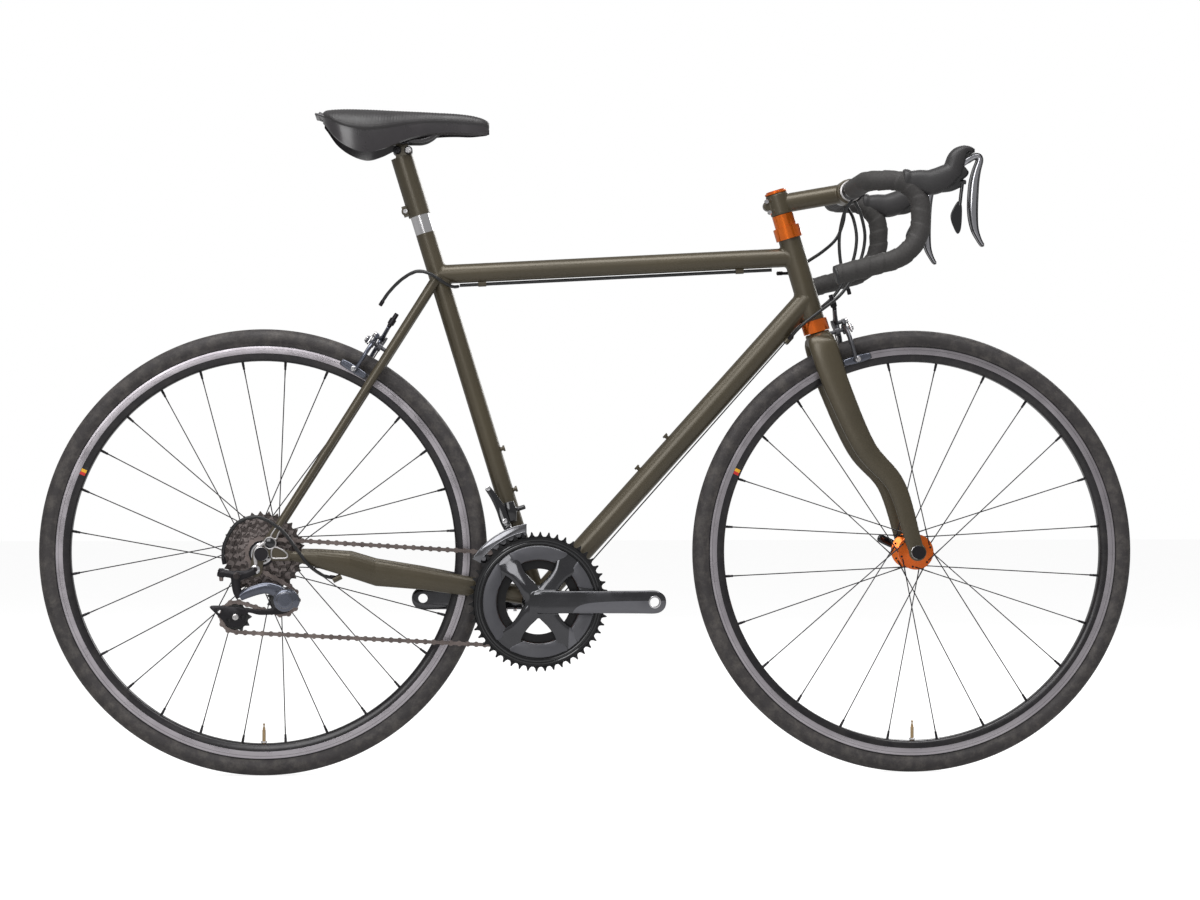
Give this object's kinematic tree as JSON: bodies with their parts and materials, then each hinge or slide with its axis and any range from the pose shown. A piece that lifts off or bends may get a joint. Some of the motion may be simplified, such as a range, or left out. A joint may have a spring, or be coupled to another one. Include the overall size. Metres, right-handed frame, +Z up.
{
  "type": "road bicycle",
  "caption": "Racing bicycle with diamond frame and seat mast, drop handlebar, rim brakes, spoked wheels and derailleur gears; pedals not fitted.",
  "frame": {"origin": "on the ground, half way between the two axles, in the wheels' middle plane", "axes": "+X forward along the bicycle, +Y to the rider's left, +Z up; the drive side faces -Y"},
  "size_m": [1.65, 0.456, 0.9995],
  "materials": {
    "frame_paint": "satin olive paint",
    "dropout_metal": "brushed",
    "orange_metal": "orange anodised",
    "fittings": "satin",
    "housing": "matt",
    "dark_metal": "black anodised",
    "steel": "plated",
    "crank_metal": "anthracite gloss",
    "mech_metal": "blue-grey gloss",
    "black_plastic": "satin",
    "saddle_cover": "fine ribbed",
    "bar_tape": "wrapped",
    "hood_rubber": "matt",
    "spoke": "black",
    "rim": "black with machined tracks",
    "tyre": "matt",
    "lever_black": "gloss",
    "brake_metal": "polished"
  },
  "bodies": {
    "frame": {"seat_tube": "frame_paint", "top_tube": "frame_paint", "down_tube": "frame_paint", "head_tube": "frame_paint", "bb_shell": "frame_paint", "chain_stays": "frame_paint", "seat_stays": "frame_paint", "dropouts": "dropout_metal", "bearing_cups": "orange_metal", "frame_fittings": "fittings", "frame_cables": "housing", "bar_housings": "housing", "front_mech_body": "dark_metal", "mech_hanger_link": "dark_metal", "rear_axle": "dark_metal", "chain": "steel", "rear_brake_mount": "dark_metal"},
    "seat": {"mast_topper": "frame_paint", "saddle_clamp": "dark_metal", "saddle_rails": "dark_metal", "saddle_shell": "black_plastic", "saddle_cover": "saddle_cover"},
    "steering": {"fork": "frame_paint", "headset_spacers": "orange_metal", "stem": "frame_paint", "stem_hardware": "fittings", "handlebar": "dark_metal", "bar_tape": "bar_tape", "brake_hoods": "hood_rubber", "front_axle": "dark_metal", "front_brake_mount": "dark_metal", "front_brake_housing": "housing"},
    "front_wheel": {"front_hub": "orange_metal", "front_spokes": "spoke", "front_rim": "rim", "front_tyre": "tyre"},
    "rear_wheel": {"rear_hub": "dark_metal", "rear_spokes": "spoke", "rear_rim": "rim", "rear_tyre": "tyre"},
    "cassette": {"cassette": "steel"},
    "crankset": {"right_crank": "crank_metal", "left_crank": "crank_metal", "chainrings": "crank_metal"},
    "left_lever": {"left_brake_lever": "lever_black"},
    "right_lever": {"right_brake_lever": "lever_black"},
    "left_paddle": {"left_shift_paddle": "lever_black"},
    "right_paddle": {"right_shift_paddle": "lever_black"},
    "front_brake_left": {"front_brake_left_arm": "brake_metal"},
    "front_brake_right": {"front_brake_right_arm": "brake_metal"},
    "rear_brake_left": {"rear_brake_left_arm": "brake_metal"},
    "rear_brake_right": {"rear_brake_right_arm": "brake_metal"},
    "swing_link": {"mech_outer_link": "mech_metal"},
    "knuckle": {"mech_knuckle": "mech_metal"},
    "cage": {"mech_cage": "black_plastic"},
    "guide_wheel": {"guide_pulley": "black_plastic"},
    "tension_wheel": {"tension_pulley": "black_plastic"},
    "front_mech": {"front_mech_cage": "brake_metal"},
    "front_lever_qr": {"front_qr_lever": "dark_metal"},
    "rear_lever_qr": {"rear_qr_lever": "dark_metal"}
  },
  "joints": [
    {"name": "seat_height", "type": "slide", "parent": "frame", "child": "seat", "axis": [-0.2924, 0, 0.9563], "range_m": [-0.015, 0.02]},
    {"name": "steer", "type": "hinge", "parent": "frame", "child": "steering", "pos_m": [0.44307, 0, 0.335], "axis": [-0.284, 0, 0.9588], "range_deg": [-60, 60], "deforming": ["bar_housings"]},
    {"name": "front_wheel_spin", "type": "hinge", "parent": "steering", "child": "front_wheel", "pos_m": [0.49, 0, 0.335], "axis": [0, 1, 0], "continuous": true},
    {"name": "rear_wheel_spin", "type": "hinge", "parent": "frame", "child": "rear_wheel", "pos_m": [-0.49, 0, 0.335], "axis": [0, 1, 0], "continuous": true},
    {"name": "crank_spin", "type": "hinge", "parent": "frame", "child": "crankset", "pos_m": [-0.07944, 0, 0.262], "axis": [0, 1, 0], "continuous": true, "deforming": ["chain"]},
    {"name": "cassette_spin", "type": "hinge", "parent": "frame", "child": "cassette", "pos_m": [-0.49, 0, 0.335], "axis": [0, 1, 0], "continuous": true},
    {"name": "left_lever_pull", "type": "hinge", "parent": "steering", "child": "left_lever", "pos_m": [0.52566, 0.21, 0.90149], "axis": [0, 1, 0], "range_deg": [0, 18], "stiffness_Nm_per_rad": 1.5},
    {"name": "right_lever_pull", "type": "hinge", "parent": "steering", "child": "right_lever", "pos_m": [0.52566, -0.21, 0.90149], "axis": [0, 1, 0], "range_deg": [0, 18], "stiffness_Nm_per_rad": 1.5},
    {"name": "left_paddle_push", "type": "hinge", "parent": "left_lever", "child": "left_paddle", "pos_m": [0.52466, 0.21, 0.87749], "axis": [-1, 0, 0], "range_deg": [0, 16], "stiffness_Nm_per_rad": 0.3},
    {"name": "right_paddle_push", "type": "hinge", "parent": "right_lever", "child": "right_paddle", "pos_m": [0.52466, -0.21, 0.87749], "axis": [1, 0, 0], "range_deg": [0, 16], "stiffness_Nm_per_rad": 0.3},
    {"name": "front_brake_left_close", "type": "hinge", "parent": "steering", "child": "front_brake_left", "pos_m": [0.37981, 0.017, 0.68234], "axis": [-0.9588, 0, -0.284], "range_deg": [0, 1.5]},
    {"name": "front_brake_right_close", "type": "hinge", "parent": "steering", "child": "front_brake_right", "pos_m": [0.38322, 0, 0.67083], "axis": [0.9588, 0, 0.284], "range_deg": [0, 1.5]},
    {"name": "rear_brake_left_close", "type": "hinge", "parent": "frame", "child": "rear_brake_left", "pos_m": [-0.31707, 0.017, 0.65803], "axis": [-0.845, 0, 0.5348], "range_deg": [0, 1.5]},
    {"name": "rear_brake_right_close", "type": "hinge", "parent": "frame", "child": "rear_brake_right", "pos_m": [-0.32348, 0, 0.64789], "axis": [0.845, 0, -0.5348], "range_deg": [0, 1.5]},
    {"name": "mech_swing", "type": "hinge", "parent": "frame", "child": "swing_link", "pos_m": [-0.512, -0.078, 0.271], "axis": [0, 0.5446, 0.8387], "range_deg": [0, 44], "stiffness_Nm_per_rad": 0.6},
    {"name": "knuckle_turn", "type": "hinge", "parent": "swing_link", "child": "knuckle", "pos_m": [-0.452, -0.078, 0.2715], "axis": [0, 0.5446, 0.8387], "range_deg": [-44, 0]},
    {"name": "cage_swing", "type": "hinge", "parent": "knuckle", "child": "cage", "pos_m": [-0.459, -0.0675, 0.2665], "axis": [0, -1, 0], "range_deg": [0, 70], "stiffness_Nm_per_rad": 0.3},
    {"name": "guide_pulley_spin", "type": "hinge", "parent": "cage", "child": "guide_wheel", "pos_m": [-0.459, -0.0595, 0.2665], "axis": [0, 1, 0], "continuous": true},
    {"name": "tension_pulley_spin", "type": "hinge", "parent": "cage", "child": "tension_wheel", "pos_m": [-0.52861, -0.0595, 0.24138], "axis": [0, 1, 0], "continuous": true},
    {"name": "front_mech_shift", "type": "slide", "parent": "frame", "child": "front_mech", "axis": [0, -1, 0], "range_m": [0, 0.0072], "stiffness_N_per_m": 400},
    {"name": "front_qr_swing", "type": "hinge", "parent": "steering", "child": "front_lever_qr", "pos_m": [0.49, 0.073, 0.335], "axis": [-0.4226, 0, -0.9063], "range_deg": [0, 150]},
    {"name": "rear_qr_swing", "type": "hinge", "parent": "frame", "child": "rear_lever_qr", "pos_m": [-0.49, 0.088, 0.335], "axis": [-0.4226, 0, -0.9063], "range_deg": [0, 150]}
  ],
  "couplings": [
    {"joint": "cassette_spin", "follows": "crank_spin", "ratio": 3.0909},
    {"joint": "guide_pulley_spin", "follows": "crank_spin", "ratio": -3.0909},
    {"joint": "tension_pulley_spin", "follows": "crank_spin", "ratio": 3.0909},
    {"joint": "front_brake_left_close", "follows": "left_lever_pull", "ratio": 0.08},
    {"joint": "front_brake_right_close", "follows": "left_lever_pull", "ratio": 0.08},
    {"joint": "rear_brake_left_close", "follows": "right_lever_pull", "ratio": 0.08},
    {"joint": "rear_brake_right_close", "follows": "right_lever_pull", "ratio": 0.08},
    {"joint": "knuckle_turn", "follows": "mech_swing", "ratio": -1}
  ]
}
